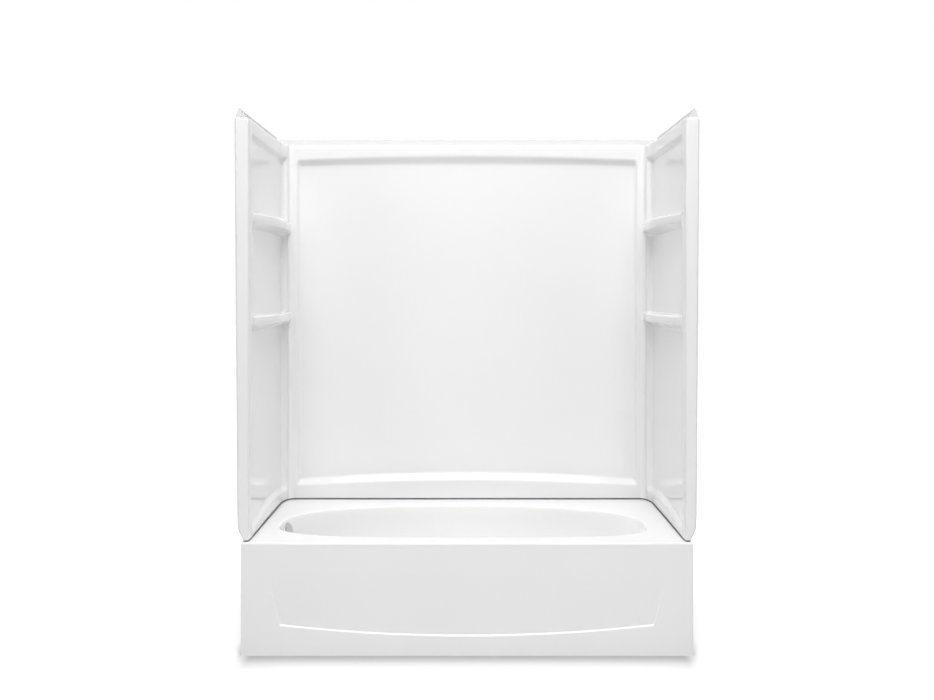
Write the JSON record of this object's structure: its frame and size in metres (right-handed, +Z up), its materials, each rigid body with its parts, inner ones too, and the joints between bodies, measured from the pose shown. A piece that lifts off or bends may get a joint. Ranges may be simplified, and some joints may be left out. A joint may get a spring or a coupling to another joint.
{
  "type": "bath and shower unit",
  "caption": "Alcove bath with an integral apron and a left-hand waste, under a back wall and two end walls with moulded shelves.",
  "frame": {"origin": "on the floor, in the middle of the bath's footprint", "axes": "+Z up, the apron faces -Y, +X to the right of a person who faces the apron"},
  "size_m": [1.5718, 0.737, 1.8455],
  "materials": {
    "moulding": "glossy white moulded composite, smooth face",
    "seal": "closed-cell grey seal strip",
    "spring_steel": "bright spring strip",
    "timber": "planed softwood",
    "board": "chipboard, sealed",
    "pad": "dense sound-deadening rubber",
    "screw": "zinc-plated, passivated"
  },
  "bodies": {
    "root": {"bath_shell": "moulding", "back_wall": "moulding", "left_end_wall": "moulding", "right_end_wall": "moulding", "deck_seal_back": "seal", "deck_seal_left": "seal", "deck_seal_right": "seal", "corner_seal_left": "seal", "corner_seal_right": "seal", "corner_clips": "spring_steel", "deck_clips": "spring_steel", "rim_rail_front": "timber", "rim_rail_back": "timber", "rim_rail_left": "timber", "rim_rail_right": "timber", "floor_board": "board", "cross_bearers": "timber", "bearer_pads": "pad", "bearer_screws": "screw"}
  },
  "joints": []
}
